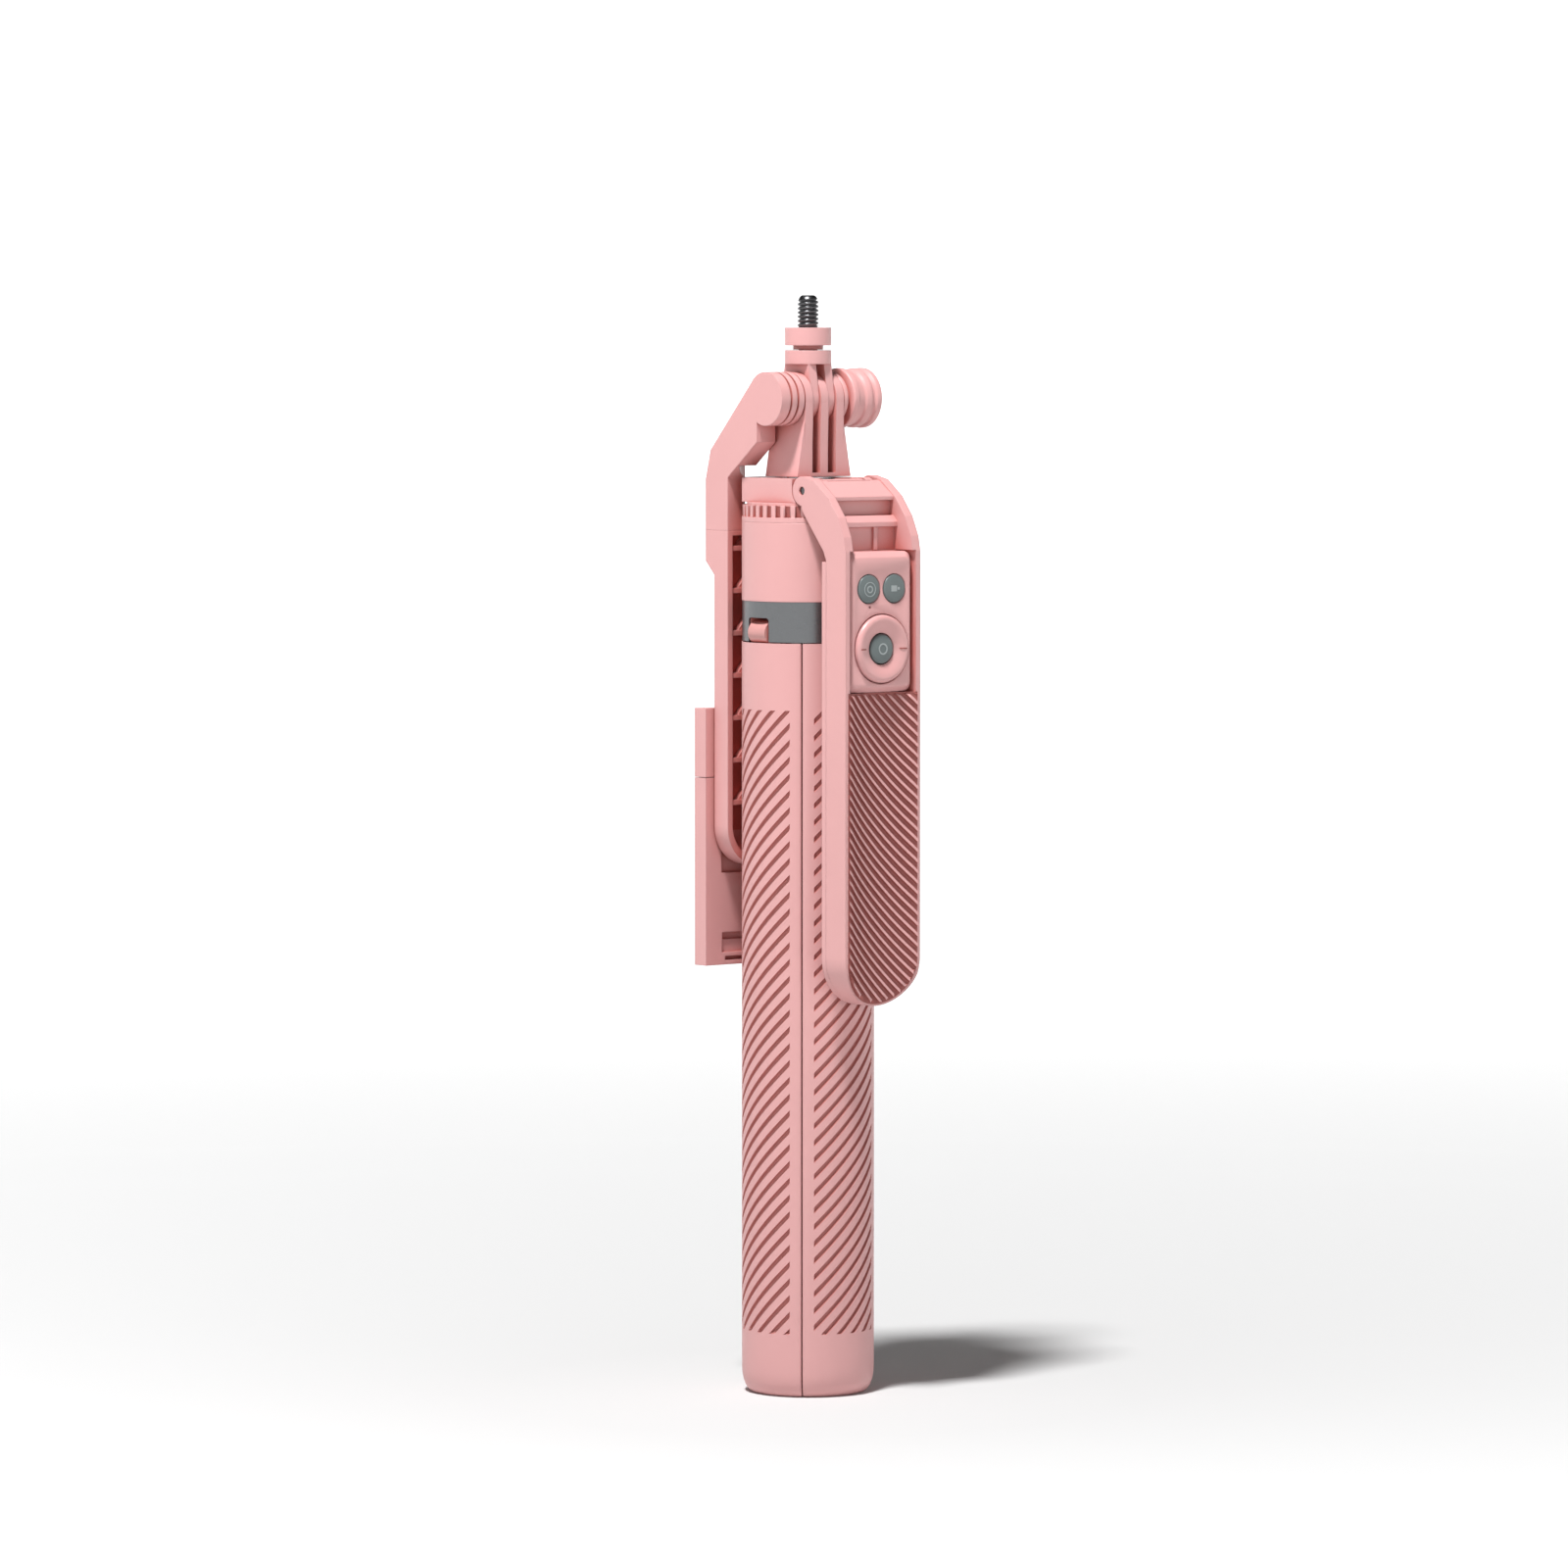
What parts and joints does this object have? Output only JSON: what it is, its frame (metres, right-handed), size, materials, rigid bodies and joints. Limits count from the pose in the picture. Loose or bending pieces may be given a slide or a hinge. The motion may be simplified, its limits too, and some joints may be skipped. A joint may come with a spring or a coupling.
{
  "type": "selfie stick",
  "caption": "Folded telescoping pole whose round grip opens into legs, with a ribbed swing-down handle holding a remote, a folding phone arm with a holder, and a camera screw on top.",
  "frame": {"origin": "on the pole's axis, level with the feet", "axes": "+Z along the pole to the camera screw, -Y to the balance handle and remote, +X to the clamp knob"},
  "size_m": [0.0426, 0.0666, 0.336],
  "materials": {
    "pink_shell": "satin moulded",
    "pink_frame": "matte moulded",
    "pink_ring": "satin moulded",
    "steel": "polished",
    "dark_band": "brushed, dark",
    "dark_steel": "black oxide",
    "black_nylon": "matte",
    "rubber": "matte",
    "circuit_board": "solder mask",
    "cell_can": "polished",
    "grey_button": "satin"
  },
  "bodies": {
    "housing": {"pole_tube_1": "steel", "leg_hub": "pink_frame", "leg_band": "dark_band", "leg_pins": "steel", "collar": "pink_shell", "knurled_ring": "pink_shell", "top_cap": "pink_shell", "housing_screws": "steel", "handle_pin": "dark_steel"},
    "leg_right": {"leg_right_shell": "pink_shell", "leg_right_liner": "pink_frame", "leg_right_foot": "rubber"},
    "leg_back": {"leg_back_shell": "pink_shell", "leg_back_liner": "pink_frame", "leg_back_foot": "rubber"},
    "leg_left": {"leg_left_shell": "pink_shell", "leg_left_liner": "pink_frame", "leg_left_foot": "rubber"},
    "leg_front": {"leg_front_shell": "pink_shell", "leg_front_liner": "pink_frame", "leg_front_foot": "rubber"},
    "tube_2": {"pole_tube_2": "steel", "glide_bush_2": "black_nylon"},
    "tube_3": {"pole_tube_3": "steel", "glide_bush_3": "black_nylon"},
    "tube_4": {"pole_tube_4": "steel", "glide_bush_4": "black_nylon"},
    "head": {"pole_tube_5": "steel", "glide_bush_5": "black_nylon", "pole_head": "pink_shell"},
    "clamp_bolt": {"cross_bolt": "steel", "bolt_knob": "pink_shell"},
    "adapter": {"adapter_fork": "pink_shell", "camera_screw": "dark_steel"},
    "lock_disc": {"lock_disc": "pink_shell"},
    "phone_arm": {"phone_arm": "pink_shell", "phone_tray": "pink_shell", "bolt_nut": "steel"},
    "holder": {"holder_plate": "pink_shell", "holder_pivot": "steel", "clamp_spring": "steel", "lower_jaw_pin": "steel"},
    "jaw_head": {"jaw_slider": "pink_shell", "guide_rods": "steel", "upper_jaw_pin": "steel"},
    "upper_jaw": {"upper_jaw": "pink_shell", "upper_jaw_pad": "rubber"},
    "lower_jaw": {"lower_jaw": "pink_shell", "lower_jaw_pad": "rubber"},
    "handle": {"handle_shell": "pink_shell", "handle_back_cover": "pink_shell", "handle_screws": "steel"},
    "remote": {"remote_front_shell": "pink_shell", "remote_back_shell": "pink_shell", "remote_board": "circuit_board", "coin_cell": "cell_can"},
    "photo_button": {"photo_button": "grey_button"},
    "video_button": {"video_button": "grey_button"},
    "zoom_ring": {"zoom_ring": "pink_ring"},
    "shutter_button": {"shutter_button": "grey_button"}
  },
  "joints": [
    {"name": "leg_right_hinge", "type": "hinge", "parent": "housing", "child": "leg_right", "pos_m": [0.017, 0, 0.2335], "axis": [0, -1, 0], "range_deg": [0, 28]},
    {"name": "leg_back_hinge", "type": "hinge", "parent": "housing", "child": "leg_back", "pos_m": [0, 0.017, 0.2335], "axis": [1, 0, 0], "range_deg": [0, 28]},
    {"name": "leg_left_hinge", "type": "hinge", "parent": "housing", "child": "leg_left", "pos_m": [-0.017, 0, 0.2335], "axis": [0, 1, 0], "range_deg": [0, 28]},
    {"name": "leg_front_hinge", "type": "hinge", "parent": "housing", "child": "leg_front", "pos_m": [0, -0.017, 0.2335], "axis": [-1, 0, 0], "range_deg": [0, 28]},
    {"name": "tube_2_slide", "type": "slide", "parent": "housing", "child": "tube_2", "axis": [0, 0, 1], "range_m": [0, 0.19]},
    {"name": "tube_3_slide", "type": "slide", "parent": "tube_2", "child": "tube_3", "axis": [0, 0, 1], "range_m": [0, 0.19]},
    {"name": "tube_4_slide", "type": "slide", "parent": "tube_3", "child": "tube_4", "axis": [0, 0, 1], "range_m": [0, 0.19]},
    {"name": "tube_5_slide", "type": "slide", "parent": "tube_4", "child": "head", "axis": [0, 0, 1], "range_m": [0, 0.19]},
    {"name": "knob_turn", "type": "hinge", "parent": "head", "child": "clamp_bolt", "pos_m": [0, 0, 0.3045], "axis": [1, 0, 0], "continuous": true},
    {"name": "adapter_tilt", "type": "hinge", "parent": "head", "child": "adapter", "pos_m": [0, 0, 0.3045], "axis": [1, 0, 0], "range_deg": [-85, 85]},
    {"name": "lock_disc_turn", "type": "hinge", "parent": "adapter", "child": "lock_disc", "pos_m": [0, 0, 0.323], "axis": [0, 0, 1], "continuous": true},
    {"name": "phone_arm_tilt", "type": "hinge", "parent": "head", "child": "phone_arm", "pos_m": [0, 0, 0.3045], "axis": [1, 0, 0], "range_deg": [0, 180]},
    {"name": "holder_turn", "type": "hinge", "parent": "phone_arm", "child": "holder", "pos_m": [0, 0.025, 0.1698], "axis": [0, 1, 0], "range_deg": [-90, 90]},
    {"name": "jaw_slide", "type": "slide", "parent": "holder", "child": "jaw_head", "axis": [0, 0, 1], "range_m": [0, 0.03], "stiffness_N_per_m": 30, "springref_m": -0.01},
    {"name": "upper_jaw_flip", "type": "hinge", "parent": "jaw_head", "child": "upper_jaw", "pos_m": [0, 0.0293, 0.2074], "axis": [1, 0, 0], "range_deg": [0, 90]},
    {"name": "lower_jaw_flip", "type": "hinge", "parent": "holder", "child": "lower_jaw", "pos_m": [0, 0.0293, 0.1322], "axis": [-1, 0, 0], "range_deg": [0, 90]},
    {"name": "handle_hinge", "type": "hinge", "parent": "housing", "child": "handle", "pos_m": [0, -0.0148, 0.2768], "axis": [-1, 0, 0], "range_deg": [0, 90]},
    {"name": "remote_lift", "type": "slide", "parent": "handle", "child": "remote", "axis": [0, -1, 0], "range_m": [0, 0.025]},
    {"name": "photo_button_press", "type": "slide", "parent": "remote", "child": "photo_button", "axis": [0, 1, 0], "range_m": [0, 0.0005], "stiffness_N_per_m": 400},
    {"name": "video_button_press", "type": "slide", "parent": "remote", "child": "video_button", "axis": [0, 1, 0], "range_m": [0, 0.0005], "stiffness_N_per_m": 400},
    {"name": "shutter_button_press", "type": "slide", "parent": "remote", "child": "shutter_button", "axis": [0, 1, 0], "range_m": [0, 0.0005], "stiffness_N_per_m": 400},
    {"name": "zoom_ring_rock", "type": "hinge", "parent": "remote", "child": "zoom_ring", "pos_m": [0, -0.033, 0.2292], "axis": [0, 0, 1], "range_deg": [-2, 2], "stiffness_Nm_per_rad": 0.3}
  ],
  "couplings": [
    {"joint": "leg_front_hinge", "follows": "handle_hinge", "ratio": 0.31111},
    {"joint": "leg_back_hinge", "follows": "phone_arm_tilt", "ratio": 0.1555}
  ]
}
